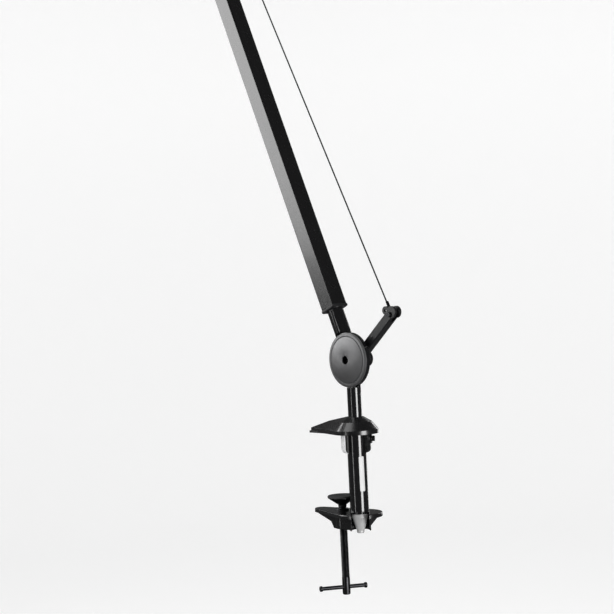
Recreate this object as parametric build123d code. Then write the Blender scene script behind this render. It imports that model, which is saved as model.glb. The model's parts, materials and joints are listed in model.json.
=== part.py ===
from build123d import *
import math
import os

# A desk lamp that clamps to the edge of a desk. Millimetres, +Z up.
# The origin is on the clamping screw's axis, on the desk's top face. The jaws reach towards -X,
# the arms swing in the XZ plane, and the joint axes run along Y.

os.makedirs("parts", exist_ok=True)

# ---- fits -------------------------------------------------------------------------------------
running_clearance = 0.05   # radial, a shaft that turns in a hole
face_clearance = 0.1       # between flat faces that turn on each other
slide_clearance = 0.3      # between parts that pass each other

# ---- clamp ------------------------------------------------------------------------------------
desk_thickness = 62.5
post_offset = 25.5         # post axis behind the screw axis
post_diameter = 18.8
post_wall = 1.2
post_plug = 10.0           # solid end that the lower screw bites in
post_bottom = -78.5
post_top = 9.0
jaw_width = 45.0
jaw_reach = 39.0           # tip beyond the screw axis
jaw_tip_radius = 7.0
top_jaw_height = 17.0
top_jaw_rim = 4.5
top_jaw_waist = 12.25      # height of the break in the slope
top_jaw_waist_radius = 16.2
top_jaw_waist_tip = 5.0
top_jaw_waist_reach = -6.4
top_jaw_crown = 8.5        # radius of the flat crown round the stem
top_jaw_crown_tip = 3.0
top_jaw_crown_reach = 17.5
jaw_pad_thickness = 2.0
jaw_pad_width = 22.0
jaw_pad_margin = 4.0
jaw_pad_corner = 4.0
jaw_rim_low = 0.5          # the jaw's rim stands this far above the desk
collar_diameter = 28.8
collar_length = 18.5
collar_round = 4.5
clip_thickness = 0.8
clip_middle = 210.0
clip_half_angle = 59.0
pinch_screw_diameter = 4.0
pinch_head_diameter = 5.5
pinch_height = -5.0
pinch_head_height = 2.8
pinch_key_depth = 1.6
lug_diameter = 9.5
lug_reach = 15.6           # lug face from the post axis
lug_angle = 42.0
opening_angle = -42.0       # the collar is open on this side, towards the room
opening_half = 48.0
lower_jaw_top = -77.5
lower_jaw_plate = 4.0
lower_jaw_depth = 18.0
web_thickness = 12.0
web_knee = 4.0             # the web's lower corner is cut back by this
web_knee_rise = 6.5
view_notch_width = 18.0
view_notch_angle = -42.0
screw_boss_diameter = 15.0
post_boss_diameter = 17.0
post_boss_lip = 4.0
post_boss_tip = 7.5
post_screw_diameter = 6.0
post_screw_head = 2.5
post_screw_slot = 1.2

# ---- clamping screw ---------------------------------------------------------------------------
spindle_diameter = 8.0
spindle_tip_diameter = 5.0
spindle_bottom = -162.0
insert_diameter = 12.0
insert_flange = 14.0
insert_flange_height = 1.8
pad_diameter = 29.0
pad_face_thickness = 1.4
pad_cup_height = 10.0
pad_rim = 0.8
pad_neck_diameter = 8.4
pad_socket_depth = 5.0
tommy_diameter = 4.0
tommy_length = 49.0
tommy_height = -154.5
tommy_angle = 62.5
tommy_shift = -3.0
tommy_knob_diameter = 5.6
tommy_knob_length = 3.0

# ---- stem and joints --------------------------------------------------------------------------
stem_diameter = 13.8
stem_bottom = -52.0
base_axis_height = 73.5
stem_cover_gap = 0.5       # between the round stem's top and the cover
bush_length = 12.0
hub_disc_diameter = 54.0
hub_disc_front = -5.6
hub_disc_back = -1.2
knuckle_diameter = 40.0
knuckle_front = -0.2
knuckle_back = 3.3
knuckle_neck_width = 13.0
lever_front = 3.8
lever_back = 12.6
lever_hub_diameter = 24.0
pivot_diameter = 10.0
cover_diameter = 54.0
cover_height = 4.4
cover_wall = 1.2
cover_hole = 8.6
washer_diameter = 22.0
washer_stack_back = 15.0
nut_diameter = 17.0
nut_height = 6.5
socket_across = 5.0
socket_depth = 3.0

# ---- lower arm --------------------------------------------------------------------------------
lower_arm_length = 600.0   # between the two joint axes
lower_arm_lean = 24.0      # from vertical, towards -X
lower_tube_size = 19.0
tube_wall = 1.5
tube_corner = 1.6
root_bar_diameter = 16.5
root_bar_start = 21.5
root_bar_front = 28.8      # where its front half starts, clear of the cover
upper_root_start = 28.0
tube_start = 57.0
plug_length = 26.0
collar_plate = 2.5

# ---- lever and cable --------------------------------------------------------------------------
lever_length = 67.0
lever_angle = 49.8         # from vertical, towards +X
lever_size = 9.5
lever_tip_radius = 5.8
lever_tip_reach = 3.5      # tip round beyond the cable pin
ear_lug_radius = 4.2
ear_lug_side = 10.5
ear_lug_back = 6.5
ear_lug_front = 10.2
fork_slot = 4.0
fork_floor = 6.0           # slot's floor inside the cable pin
fork_length = 20.0         # slot's cut past the pin
cable_diameter = 1.5
cable_pin_diameter = 3.0
eye_thickness = 3.2
lever_eye_diameter = 7.0
tail_eye_diameter = 9.2
tail_eye_clearance = 1.1   # radial, room for the linkage's open pivot
sleeve_diameter = 3.0
sleeve_length = 14.0
tail_lever_length = 30.5
tail_lever_angle = 78.2    # from the lower arm's direction

# ---- upper arm --------------------------------------------------------------------------------
upper_arm_rise = 20.0      # above horizontal, towards -X
upper_arm_length = 440.0
upper_tube_size = 15.0
upper_root_diameter = 13.0
upper_tube_start = 50.0
tail_rod_diameter = 10.0
tail_rod_length = 235.0
tail_boss_diameter = 12.0
tail_boss_end = 48.0
weight_diameter = 56.0
weight_length = 70.0
weight_stop_gap = 10.0      # the weight's end to the stop, as drawn
weight_chamfer = 3.0
weight_screw_diameter = 6.0
weight_knob_diameter = 14.0
stop_diameter = 16.0
stop_length = 10.0

# ---- head -------------------------------------------------------------------------------------
swivel_diameter = 8.0
swivel_depth = 16.0
knuckle_body_diameter = 15.0
tilt_reach = 31.0          # tilt axis beyond the upper arm's end
tilt_pin_diameter = 5.0
tilt_slot = 6.0
tilt_slot_depth = 14.0
tilt_neck_width = 10.0
tilt_ear_diameter = 15.0
neck_length = 30.0
cap_diameter = 44.0
cap_height = 58.0
cap_wall = 2.0
cap_round = 8.0
shade_mouth_diameter = 160.0
shade_height = 112.0
shade_overlap = 14.0       # the shade's neck over the cap
shade_wall = 1.4
holder_diameter = 34.0
holder_length = 34.0
bulb_diameter = 55.0
bulb_length = 92.0
bulb_neck_diameter = 26.0
bezel_width = 12.0
button_diameter = 8.0
button_proud = 3.5

# ---- derived places ---------------------------------------------------------------------------
stem_round_top = base_axis_height - cover_diameter / 2 - stem_cover_gap
weight_centre = tail_rod_length - weight_stop_gap - weight_length / 2
post_place = Pos(post_offset, 0, 0)
base_place = Pos(post_offset, 0, base_axis_height)
lower_place = base_place * Rot(0, -lower_arm_lean, 0)
lever_place = base_place * Rot(0, lever_angle, 0)
elbow_place = lower_place * Pos(0, 0, lower_arm_length)
upper_place = elbow_place * Rot(0, lower_arm_lean - 90 + upper_arm_rise, 0)
tail_lever_place = elbow_place * Rot(0, tail_lever_angle, 0)
head_place = upper_place * Pos(0, 0, upper_arm_length)
tilt_point = (head_place * Pos(0, 0, tilt_reach)).position
tilt_place = Pos(tilt_point.X, 0, tilt_point.Z)
lever_middle = (lever_front + lever_back) / 2
lever_tip = (lever_place * Pos(0, lever_middle, lever_length)).position
tail_tip = (tail_lever_place * Pos(0, lever_middle, tail_lever_length)).position


def save(shape, name):
    """Write one sub-part under its node's name."""
    export_step(shape, "parts/" + name + ".step")


def rod(radius, low, high):
    """A round bar along Z from low to high."""
    return Pos(0, 0, (low + high) / 2) * Cylinder(radius, high - low)


def cross_rod(radius, front, back):
    """A round bar along Y from front to back."""
    return Pos(0, (front + back) / 2, 0) * Rot(90, 0, 0) * Cylinder(radius, back - front)


def side_rod(radius, near, far):
    """A round bar along X at the pinch screw's height."""
    return Pos((near + far) / 2, 0, pinch_height) * Rot(0, 90, 0) * Cylinder(radius, far - near)


def block(width, front, back, low, high):
    """A bar centred on X, between two Y faces and two Z faces."""
    middle = Pos(0, (front + back) / 2, (low + high) / 2)
    return middle * Box(width, back - front, high - low)


def hex_socket(depth, mouth, direction, across):
    """A hexagon hole along Y that opens at the mouth; direction is +1 or -1, into the metal."""
    plane = Plane(origin=(0, mouth, 0), x_dir=(1, 0, 0), z_dir=(0, direction, 0))
    return extrude(plane * RegularPolygon(across / 2, 6), depth)


def jaw_outline(round_radius, tip_radius, tip_x):
    """A teardrop in plan: a large round at the post and a small one at the tip."""
    return make_hull(
        (Pos(post_offset, 0) * Circle(round_radius)).edges()
        + (Pos(tip_x, 0) * Circle(tip_radius)).edges()
    )


def round_tube_socket(size, length, low):
    """A square plug with rounded corners that fills a tube's inside."""
    inside = size - 2 * tube_wall
    return extrude(Pos(0, 0, low) * RectangleRounded(inside, inside, tube_corner / 2), length)


# ---- clamp ------------------------------------------------------------------------------------
def make_post():
    """The tube that joins the two jaws and holds the stem."""
    radius = post_diameter / 2
    tube = rod(radius, post_bottom, post_top) - rod(radius - post_wall, post_bottom + post_plug, post_top)
    tube -= rod(post_screw_diameter / 2, post_bottom, post_bottom + post_plug)
    tube -= Rot(0, 0, lug_angle) * side_rod(pinch_screw_diameter / 2, 0, post_diameter)
    return post_place * tube


def make_bushes():
    """Two plain sleeves in the post that the stem turns in."""
    outer = post_diameter / 2 - post_wall
    inner = stem_diameter / 2 + running_clearance
    upper = rod(outer, post_top - bush_length, post_top) - rod(inner, post_top - bush_length, post_top)
    lower = rod(outer, stem_bottom, stem_bottom + bush_length)
    lower -= rod(inner, stem_bottom, stem_bottom + bush_length)
    return Compound([post_place * upper, post_place * lower])


def make_top_jaw():
    """A smooth cast cap: flat crown at the stem, long slope to the tip, pocket beneath."""
    half = jaw_width / 2
    tip_x = -jaw_reach + jaw_tip_radius
    levels = [
        (jaw_rim_low, half, jaw_tip_radius, tip_x),
        (top_jaw_rim, half, jaw_tip_radius, tip_x),
        (top_jaw_waist, top_jaw_waist_radius, top_jaw_waist_tip, top_jaw_waist_reach),
        (top_jaw_height, top_jaw_crown, top_jaw_crown_tip, top_jaw_crown_reach),
    ]
    sections = [Pos(0, 0, z) * jaw_outline(big, small, x) for z, big, small, x in levels]
    body = extrude(sections[0], levels[1][0] - levels[0][0])
    for lower, upper in zip(sections[1:], sections[2:]):
        body += loft([lower, upper])
    body -= extrude(jaw_pad_outline(), jaw_pad_thickness)
    body -= post_place * rod(post_diameter / 2, 0, post_top)
    body -= post_place * rod(stem_diameter / 2 + slide_clearance, 0, top_jaw_height + 1)
    return body


def jaw_pad_outline():
    """The soft facing's outline: the jaw's tip end, clear of the collar."""
    low = -jaw_reach + jaw_pad_margin
    high = post_offset - collar_diameter / 2 - jaw_pad_margin
    return Pos((low + high) / 2, 0) * RectangleRounded(high - low, jaw_pad_width, jaw_pad_corner)


def make_top_jaw_pad():
    """The soft facing that presses on the desk."""
    return extrude(jaw_pad_outline(), jaw_pad_thickness)


def collar_profile(outer, inner):
    """Half section of the collar with a round lower edge."""
    top = jaw_rim_low
    low = -collar_length
    with BuildSketch(Plane.XZ) as sketch:
        with BuildLine():
            Polyline((inner, low), (inner, top), (outer, top), (outer, low + collar_round))
            RadiusArc((outer, low + collar_round), (outer - collar_round, low), collar_round)
            Line((outer - collar_round, low), (inner, low))
        make_face()
    return sketch.sketch


def make_collar():
    """The black collar under the top jaw, open towards the room, with a lug for its screw."""
    ring = revolve(collar_profile(collar_diameter / 2, post_diameter / 2), Axis.Z)
    lug = side_rod(lug_diameter / 2, post_diameter / 2 + 1.0, lug_reach)
    ring = ring + lug - wedge(opening_angle - lug_angle, opening_half)
    ring -= side_rod(pinch_screw_diameter / 2, 0, lug_reach + 1)
    return post_place * Rot(0, 0, lug_angle) * ring


def make_pinch_screw():
    """The screw through the collar and the post that pinches the stem."""
    shank = side_rod(pinch_screw_diameter / 2, stem_diameter / 2 + slide_clearance, lug_reach)
    head = side_rod(pinch_head_diameter / 2, lug_reach, lug_reach + pinch_head_height)
    head = chamfer(head.edges().group_by(Axis.X)[-1], 0.5)
    key_end = lug_reach + pinch_head_height - pinch_key_depth
    key = Pos(key_end, 0, pinch_height) * Rot(0, 90, 0) * extrude(RegularPolygon(1.4, 6), pinch_head_height)
    return post_place * Rot(0, 0, lug_angle) * (shank + head - key)


def wedge(middle, half_angle):
    """A tall wedge about the Z axis, used to cut a sector."""
    reach = 60.0
    low = math.radians(middle - half_angle)
    high = math.radians(middle + half_angle)
    mid = math.radians(middle)
    corners = [(reach * math.cos(angle), reach * math.sin(angle)) for angle in (low, mid, high)]
    with BuildSketch() as sector:
        with BuildLine():
            Polyline((0, 0), *corners, close=True)
        make_face()
    return extrude(Pos(0, 0, -2 * collar_length) * sector.sketch, 4 * collar_length)


def make_edge_clip():
    """The pale guard that wraps the collar where the desk's edge meets it."""
    outer = collar_diameter / 2 + clip_thickness
    shell = revolve(collar_profile(outer, post_diameter / 2), Axis.Z)
    shell -= revolve(collar_profile(collar_diameter / 2, post_diameter / 2 - 1), Axis.Z)
    return post_place * (shell & wedge(clip_middle, clip_half_angle))


def make_lower_jaw():
    """Cast plate with a web beneath, a boss for the screw and a cone under the post."""
    tip_x = -jaw_reach + jaw_tip_radius
    half = jaw_width / 2
    plate = extrude(
        Pos(0, 0, lower_jaw_top - lower_jaw_plate) * jaw_outline(half, jaw_tip_radius, tip_x),
        lower_jaw_plate,
    )
    top_edges = plate.edges().group_by(Axis.Z)[-1]
    plate = fillet(top_edges, 1.2)
    under = lower_jaw_top - lower_jaw_plate
    low = lower_jaw_top - lower_jaw_depth
    web_plane = Plane(origin=(0, web_thickness / 2, 0), x_dir=(1, 0, 0), z_dir=(0, -1, 0))
    with BuildSketch(web_plane) as web:
        with BuildLine():
            Polyline(
                (-jaw_reach + 3, under + 1),
                (-screw_boss_diameter / 2 - web_knee, low + web_knee_rise),
                (-screw_boss_diameter / 2, low),
                (post_offset + post_boss_tip / 2, low),
                (post_offset + half - 2, under + 1),
                close=True,
            )
        make_face()
    jaw = plate + extrude(web.sketch, web_thickness)
    jaw += rod(screw_boss_diameter / 2, low, under + 1)
    jaw += post_place * rod(post_boss_diameter / 2 + 2.0, low, under + 1)
    jaw -= rod(insert_diameter / 2, low - 1, lower_jaw_top + 1)
    jaw -= post_place * rod(post_diameter / 2, post_bottom, lower_jaw_top + 1)
    jaw -= post_place * rod(post_boss_diameter / 2, low - 1, post_bottom)
    notch = Pos(jaw_width / 2, 0, low) * Box(jaw_width, view_notch_width, 4 * lower_jaw_depth)
    jaw -= post_place * Rot(0, 0, view_notch_angle) * notch
    return jaw


def make_post_cone():
    """The pale conical nut under the post, seen through the jaw's open side."""
    low = lower_jaw_top - lower_jaw_depth
    lip = post_bottom - post_boss_lip
    radius = post_boss_diameter / 2
    nut = rod(radius, lip, post_bottom)
    nut += Pos(0, 0, (low + lip) / 2) * Cone(post_boss_tip / 2, radius - 0.6, lip - low)
    nut -= rod(post_screw_diameter / 2, low - 1, post_bottom + 1)
    return post_place * nut


def make_thread_insert():
    """The metal nut in the lower jaw that the screw runs in."""
    low = lower_jaw_top - lower_jaw_depth
    body = rod(insert_diameter / 2, low, lower_jaw_top)
    body += rod(insert_flange / 2, lower_jaw_top, lower_jaw_top + insert_flange_height)
    body = chamfer(body.edges().group_by(Axis.Z)[-1], 0.6)
    return body - rod(spindle_diameter / 2 + running_clearance, low - 1, lower_jaw_top + 10)


def make_post_screw():
    """The screw up through the cone into the post's plug."""
    low = lower_jaw_top - lower_jaw_depth
    shank = rod(post_screw_diameter / 2, low, post_bottom + post_plug - 1)
    head = rod(post_boss_tip / 2, low - post_screw_head, low)
    head = fillet(head.edges().group_by(Axis.Z)[0], 1.0)
    slot = Pos(0, 0, low - post_screw_head) * Box(post_boss_tip, post_screw_slot, 2 * post_screw_slot)
    return post_place * (shank + head - slot)


def make_pad_cup():
    """The flared metal foot that swivels on the screw's end."""
    top = -desk_thickness - pad_face_thickness
    low = top - pad_cup_height
    with BuildSketch(Plane.XZ) as section:
        with BuildLine():
            Polyline(
                (0, top), (pad_diameter / 2, top), (pad_diameter / 2, top - pad_rim),
                (pad_neck_diameter / 2, low + 2), (pad_neck_diameter / 2, low), (0, low), close=True,
            )
        make_face()
    cup = revolve(section.sketch, Axis.Z)
    return cup - rod(spindle_tip_diameter / 2 + running_clearance, low - 1, low + pad_socket_depth)


def make_pad_face():
    """The soft disc on the foot."""
    disc = rod(pad_diameter / 2, -desk_thickness - pad_face_thickness, -desk_thickness)
    return chamfer(disc.edges().group_by(Axis.Z)[-1], 0.5)


def make_spindle():
    """The clamping screw with its cross hole."""
    cup_low = -desk_thickness - pad_face_thickness - pad_cup_height
    top = cup_low + pad_socket_depth - face_clearance
    shoulder = cup_low - face_clearance
    shaft = rod(spindle_diameter / 2, spindle_bottom, shoulder)
    shaft += rod(spindle_tip_diameter / 2, shoulder, top)
    shaft = chamfer(shaft.edges().group_by(Axis.Z)[0], 0.8)
    hole = Pos(0, 0, tommy_height) * Rot(0, 0, tommy_angle) * Rot(0, 90, 0)
    return shaft - hole * Cylinder(tommy_diameter / 2 + running_clearance, 2 * spindle_diameter)


def make_tommy_bar():
    """The loose handle bar with a bead on each end."""
    bar = Rot(0, 90, 0) * Cylinder(tommy_diameter / 2, tommy_length)
    for side in (-1, 1):
        bead = Rot(0, 90, 0) * Cylinder(tommy_knob_diameter / 2, tommy_knob_length)
        bead = fillet(bead.edges().filter_by(GeomType.CIRCLE), 0.9)
        bar += Pos(side * (tommy_length - tommy_knob_length) / 2, 0, 0) * bead
    return Pos(0, 0, tommy_height) * Rot(0, 0, tommy_angle) * Pos(tommy_shift, 0, 0) * bar


# ---- joints -----------------------------------------------------------------------------------
def make_stem():
    """Round bar that flattens into the base joint's knuckle plate."""
    shaft = rod(stem_diameter / 2, stem_bottom, stem_round_top)
    neck = block(knuckle_neck_width, knuckle_front, knuckle_back, stem_round_top - 5, base_axis_height)
    plate = Pos(0, 0, base_axis_height) * cross_rod(knuckle_diameter / 2, knuckle_front, knuckle_back)
    bore = Pos(0, 0, base_axis_height) * cross_rod(pivot_diameter / 2, -20, 20)
    return post_place * (shaft + neck + plate - bore)


def make_pivot_pin():
    """Pin through a joint, with a hexagon socket at the front."""
    front = hub_disc_front
    pin = cross_rod(pivot_diameter / 2, front, washer_stack_back + nut_height - 2.0)
    return pin - hex_socket(socket_depth, front, 1, socket_across)


def make_cap_nut():
    """Domed nut on a joint's pin."""
    nut = cross_rod(nut_diameter / 2, washer_stack_back, washer_stack_back + nut_height)
    nut = fillet(nut.edges().group_by(Axis.Y)[-1], 2.6)
    return nut - cross_rod(pivot_diameter / 2, washer_stack_back - 1, washer_stack_back + nut_height - 2.0)


def make_washers():
    """Friction washers between a joint's plates and under its nut."""
    bore = pivot_diameter / 2
    stack = [
        (knuckle_diameter / 2, hub_disc_back + face_clearance, knuckle_front),
        (washer_diameter / 2, knuckle_back, lever_front - face_clearance),
        (washer_diameter / 2, lever_back + face_clearance, lever_back + 1.3),
        (nut_diameter / 2 + 1.0, lever_back + 1.3, washer_stack_back),
    ]
    return [cross_rod(radius, low, high) - cross_rod(bore, low, high) for radius, low, high in stack]


def make_cover():
    """Shallow dome over a joint, with a bevelled rim, a fine groove and a centre hole."""
    rim = cover_diameter / 2
    groove = rim - 4.2
    inner_rim = rim - 4.5
    hole = cover_hole / 2
    inside = cover_height - cover_wall
    with BuildSketch() as section:
        with BuildLine():
            Polyline((rim, 0), (rim, 1.2), (rim - 1.2, 2.0), (rim - 3.2, 2.2), (rim - 3.6, 1.7), (groove, 2.3))
            ThreePointArc((groove, 2.3), (0.55 * rim, cover_height - 0.55), (hole, cover_height))
            Line((hole, cover_height), (hole, inside))
            ThreePointArc((hole, inside), (0.5 * rim, inside - 0.6), (inner_rim, 0.9))
            Polyline((inner_rim, 0.9), (inner_rim, 0), (rim, 0))
        make_face()
    dome = revolve(section.sketch, Axis.Y)
    return Pos(0, hub_disc_front, 0) * Rot(180, 0, 0) * dome


def make_arm_hub(disc_diameter, bar_diameter, bar_end, plug_size):
    """Disc on the joint, a tongue, a round root bar and a plug for the tube. The arm is along +Z."""
    disc = cross_rod(disc_diameter / 2, hub_disc_front, hub_disc_back)
    tongue = block(bar_diameter - 1.0, hub_disc_front, hub_disc_back, 0, root_bar_start + 4)
    bar = rod(bar_diameter / 2, root_bar_start, bar_end)
    bar -= block(2 * bar_diameter, -bar_diameter, hub_disc_front, root_bar_start - 1, root_bar_front)
    plug = round_tube_socket(plug_size, plug_length, bar_end)
    hub = disc + tongue + bar + plug
    return hub - cross_rod(pivot_diameter / 2 + running_clearance, -20, 20)


def make_square_tube(size, low, high):
    """Square tube with rounded corners along Z."""
    outer = RectangleRounded(size, size, tube_corner)
    inside = size - 2 * tube_wall
    inner = RectangleRounded(inside, inside, tube_corner / 2)
    return extrude(Pos(0, 0, low) * (outer - inner), high - low)


def make_tube_collar(size, bore, low):
    """The lip that closes a tube's end round the root bar."""
    plate = extrude(Pos(0, 0, low) * RectangleRounded(size + 1.0, size + 1.0, tube_corner), collar_plate)
    plate = chamfer(plate.edges().group_by(Axis.Z)[0], 0.6)
    return plate - rod(bore / 2, low - 1, low + collar_plate + 1)


def make_lever(length, bore_clearance):
    """Square lever with a round hub, its bore and a forked, rounded tip."""
    hub = cross_rod(lever_hub_diameter / 2, lever_front, lever_back)
    bar = block(lever_size, lever_front, lever_back, 0, length)
    bar = chamfer(bar.edges().filter_by(Axis.Z), 0.9)
    tip = Pos(0, 0, length + lever_tip_reach) * cross_rod(lever_tip_radius, lever_front, lever_back)
    arm = hub + bar + tip
    slot_front = lever_middle - fork_slot / 2
    slot_back = lever_middle + fork_slot / 2
    arm -= block(2 * lever_size, slot_front, slot_back, length - fork_floor, length + fork_length)
    arm -= Pos(0, 0, length) * cross_rod(cable_pin_diameter / 2, -20, 40)
    arm -= cross_rod(pivot_diameter / 2 + bore_clearance, -20, 40)
    return arm


def make_base_lever():
    """The long lever, with a small screw lug beside its fork."""
    lug = Pos(-ear_lug_side, 0, 0) * cross_rod(ear_lug_radius, ear_lug_front, lever_back)
    arm = Pos(-ear_lug_side / 2, 0, 0) * block(ear_lug_side, ear_lug_front, lever_back, -3.2, 3.2)
    lug = Pos(0, 0, lever_length - ear_lug_back) * (lug + arm)
    hole = Pos(-ear_lug_side, 0, lever_length - ear_lug_back) * cross_rod(1.5, 0, 20)
    return make_lever(lever_length, running_clearance) + lug - hole


def make_cable_pin(length):
    """Pin across a lever's fork, with a small head at the front."""
    shank = cross_rod(cable_pin_diameter / 2, lever_front - 0.8, lever_back + 0.8)
    head = cross_rod(cable_pin_diameter / 2 + 1.2, lever_front - 1.8, lever_front)
    return Pos(0, 0, length) * (shank + head)


def make_cable():
    """The tight steel cable between the two eyes."""
    along = (tail_tip - lever_tip).normalized()
    start = lever_tip + along * lever_eye_diameter / 2
    length = (tail_tip - lever_tip).length - (lever_eye_diameter + tail_eye_diameter) / 2
    plane = Plane(origin=start, z_dir=along)
    return extrude(plane * Circle(cable_diameter / 2), length)


def make_cable_eyes():
    """A flat eye and a crimped sleeve on each end of the cable."""
    along = (tail_tip - lever_tip).normalized()
    front = lever_middle - eye_thickness / 2
    back = lever_middle + eye_thickness / 2
    ends = (
        (lever_tip, along, lever_eye_diameter, running_clearance),
        (tail_tip, along * -1, tail_eye_diameter, tail_eye_clearance),
    )
    eyes = []
    for point, direction, diameter, clearance in ends:
        eye = Pos(point.X, 0, point.Z) * cross_rod(diameter / 2, front, back)
        sleeve_plane = Plane(origin=point, z_dir=direction)
        eye += extrude(sleeve_plane * Circle(sleeve_diameter / 2), sleeve_length)
        eye -= Pos(point.X, 0, point.Z) * cross_rod(cable_pin_diameter / 2 + clearance, front, back)
        bore_plane = Plane(origin=point + direction * diameter / 2, z_dir=direction)
        eye -= extrude(bore_plane * Circle(cable_diameter / 2), sleeve_length)
        eyes.append(eye)
    return Compound(eyes)


# ---- upper arm --------------------------------------------------------------------------------
def make_upper_hub():
    """Knuckle plate with a root bar for the tube and a boss for the tail rod."""
    plate = cross_rod(knuckle_diameter / 2, knuckle_front, knuckle_back)
    reach = upper_root_start + 4
    tongue = block(upper_root_diameter - 1, knuckle_front, knuckle_back, -reach, reach)
    bar = rod(upper_root_diameter / 2, upper_root_start, upper_tube_start)
    bar = chamfer(bar.edges().group_by(Axis.Z)[0], 1.8)
    boss = rod(tail_boss_diameter / 2, -tail_boss_end, -upper_root_start)
    boss = chamfer(boss.edges().group_by(Axis.Z)[-1], 1.0)
    hub = plate + tongue + bar + boss + round_tube_socket(upper_tube_size, plug_length, upper_tube_start)
    return hub - cross_rod(pivot_diameter / 2, -20, 20)


def make_tail_rod():
    """Round rod behind the elbow that carries the counterweight."""
    bar = rod(tail_rod_diameter / 2, -tail_rod_length, -tail_boss_end)
    return chamfer(bar.edges().group_by(Axis.Z)[0], 0.8)


def make_tail_stop():
    """Button on the tail rod's end that keeps the weight on."""
    stop = rod(stop_diameter / 2, -tail_rod_length - stop_length, -tail_rod_length)
    return fillet(stop.edges().group_by(Axis.Z)[0], 3.0)


def make_counterweight():
    """Turned steel weight with a bore for the rod and a hole for its screw."""
    low = -weight_centre - weight_length / 2
    high = -weight_centre + weight_length / 2
    body = rod(weight_diameter / 2, low, high)
    body = chamfer(body.edges().filter_by(GeomType.CIRCLE), weight_chamfer)
    body -= rod(tail_rod_diameter / 2 + running_clearance, low - 1, high + 1)
    hole = Pos(0, 0, -weight_centre) * cross_rod(weight_screw_diameter / 2, -weight_diameter, 0)
    return body - hole


def make_weight_screw():
    """Knurled screw that locks the weight."""
    reach = weight_diameter / 2
    shank = cross_rod(weight_screw_diameter / 2, -reach, -tail_rod_diameter / 2 - slide_clearance)
    knob = cross_rod(weight_knob_diameter / 2, -reach - 8, -reach)
    knob = chamfer(knob.edges().filter_by(GeomType.CIRCLE), 0.8)
    return Pos(0, 0, -weight_centre) * (shank + knob)


def make_head_plug():
    """Round end plug in the upper arm that the head swivels in."""
    outer = upper_tube_size
    inside = outer - 2 * tube_wall
    plug = extrude(
        Pos(0, 0, upper_arm_length - plug_length) * RectangleRounded(inside, inside, tube_corner / 2),
        plug_length,
    )
    lip = extrude(Pos(0, 0, upper_arm_length) * RectangleRounded(outer, outer, tube_corner), collar_plate)
    bore = rod(
        swivel_diameter / 2 + running_clearance,
        upper_arm_length - swivel_depth,
        upper_arm_length + collar_plate + 1,
    )
    return plug + lip - bore


# ---- head -------------------------------------------------------------------------------------
def make_head_knuckle():
    """Swivel stub with two ears that carry the tilt pin."""
    stub = rod(swivel_diameter / 2, -swivel_depth + face_clearance, collar_plate + 4)
    body = rod(knuckle_body_diameter / 2, collar_plate + face_clearance, tilt_reach - 4)
    body += Pos(0, 0, tilt_reach) * cross_rod(
        tilt_ear_diameter / 2, -knuckle_body_diameter / 2, knuckle_body_diameter / 2
    )
    body -= block(30, -tilt_slot / 2, tilt_slot / 2, tilt_reach - tilt_slot_depth, tilt_reach + 20)
    body -= Pos(0, 0, tilt_reach) * cross_rod(tilt_pin_diameter / 2, -20, 20)
    return body + stub


def make_tilt_pin():
    """Pin through the ears with a round head."""
    pin = cross_rod(tilt_pin_diameter / 2, -knuckle_body_diameter / 2, knuckle_body_diameter / 2 + 6)
    head = cross_rod(tilt_pin_diameter, -knuckle_body_diameter / 2 - 2.5, -knuckle_body_diameter / 2)
    head = fillet(head.edges().group_by(Axis.Y)[0], 1.0)
    return Pos(0, 0, tilt_reach) * (pin + head)


def make_wing_nut():
    """Winged nut that sets the tilt's friction."""
    start = knuckle_body_diameter / 2
    hub = cross_rod(tilt_pin_diameter, start, start + 6)
    wings = extrude(
        Plane(origin=(0, start + 3, 0), x_dir=(1, 0, 0), z_dir=(0, 1, 0)) * SlotOverall(26, 7), 3.0
    )
    nut = hub + wings - cross_rod(tilt_pin_diameter / 2, start - 1, start + 6)
    return Pos(0, 0, tilt_reach) * nut


def make_socket_cap():
    """Turned cap with the neck that hangs in the knuckle's ears."""
    top = -neck_length
    low = top - cap_height
    shell = rod(cap_diameter / 2, low, top)
    shell = fillet(shell.edges().group_by(Axis.Z)[-1], cap_round)
    shell -= rod(cap_diameter / 2 - cap_wall, low, top - cap_round)
    half_neck = tilt_slot / 2 - slide_clearance
    neck = block(tilt_neck_width, -half_neck, half_neck, top - 1, 0)
    neck += cross_rod((tilt_ear_diameter - 1) / 2, -half_neck, half_neck)
    cap = shell + neck - cross_rod(tilt_pin_diameter / 2 + running_clearance, -20, 20)
    button_hole = Pos(cap_diameter / 2, 0, top - cap_height / 2) * Rot(0, 90, 0)
    return cap - button_hole * Cylinder(button_diameter / 2 + 1.0, 4 * cap_wall)


def make_shade():
    """Straight conical shade with a short neck over the cap."""
    low = -neck_length - cap_height
    top = low + shade_overlap
    inner = cap_diameter / 2
    mouth = shade_mouth_diameter / 2
    bottom = top - shade_height
    with BuildSketch(Plane.XZ) as section:
        with BuildLine():
            Polyline(
                (inner, top), (inner + shade_wall, top), (inner + shade_wall, low + shade_wall),
                (mouth, bottom), (mouth - shade_wall, bottom), (inner, low), close=True,
            )
        make_face()
    return revolve(section.sketch, Axis.Z)


def make_lampholder():
    """Holder inside the cap."""
    top = -neck_length - cap_round - 4
    seat = rod(cap_diameter / 2 - cap_wall, top - 4, top)
    barrel = rod(holder_diameter / 2, top - 4 - holder_length, top - 4)
    mouth = rod(bulb_neck_diameter / 2, top - 5 - holder_length, top - holder_length + 16)
    return seat + barrel - mouth


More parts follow.
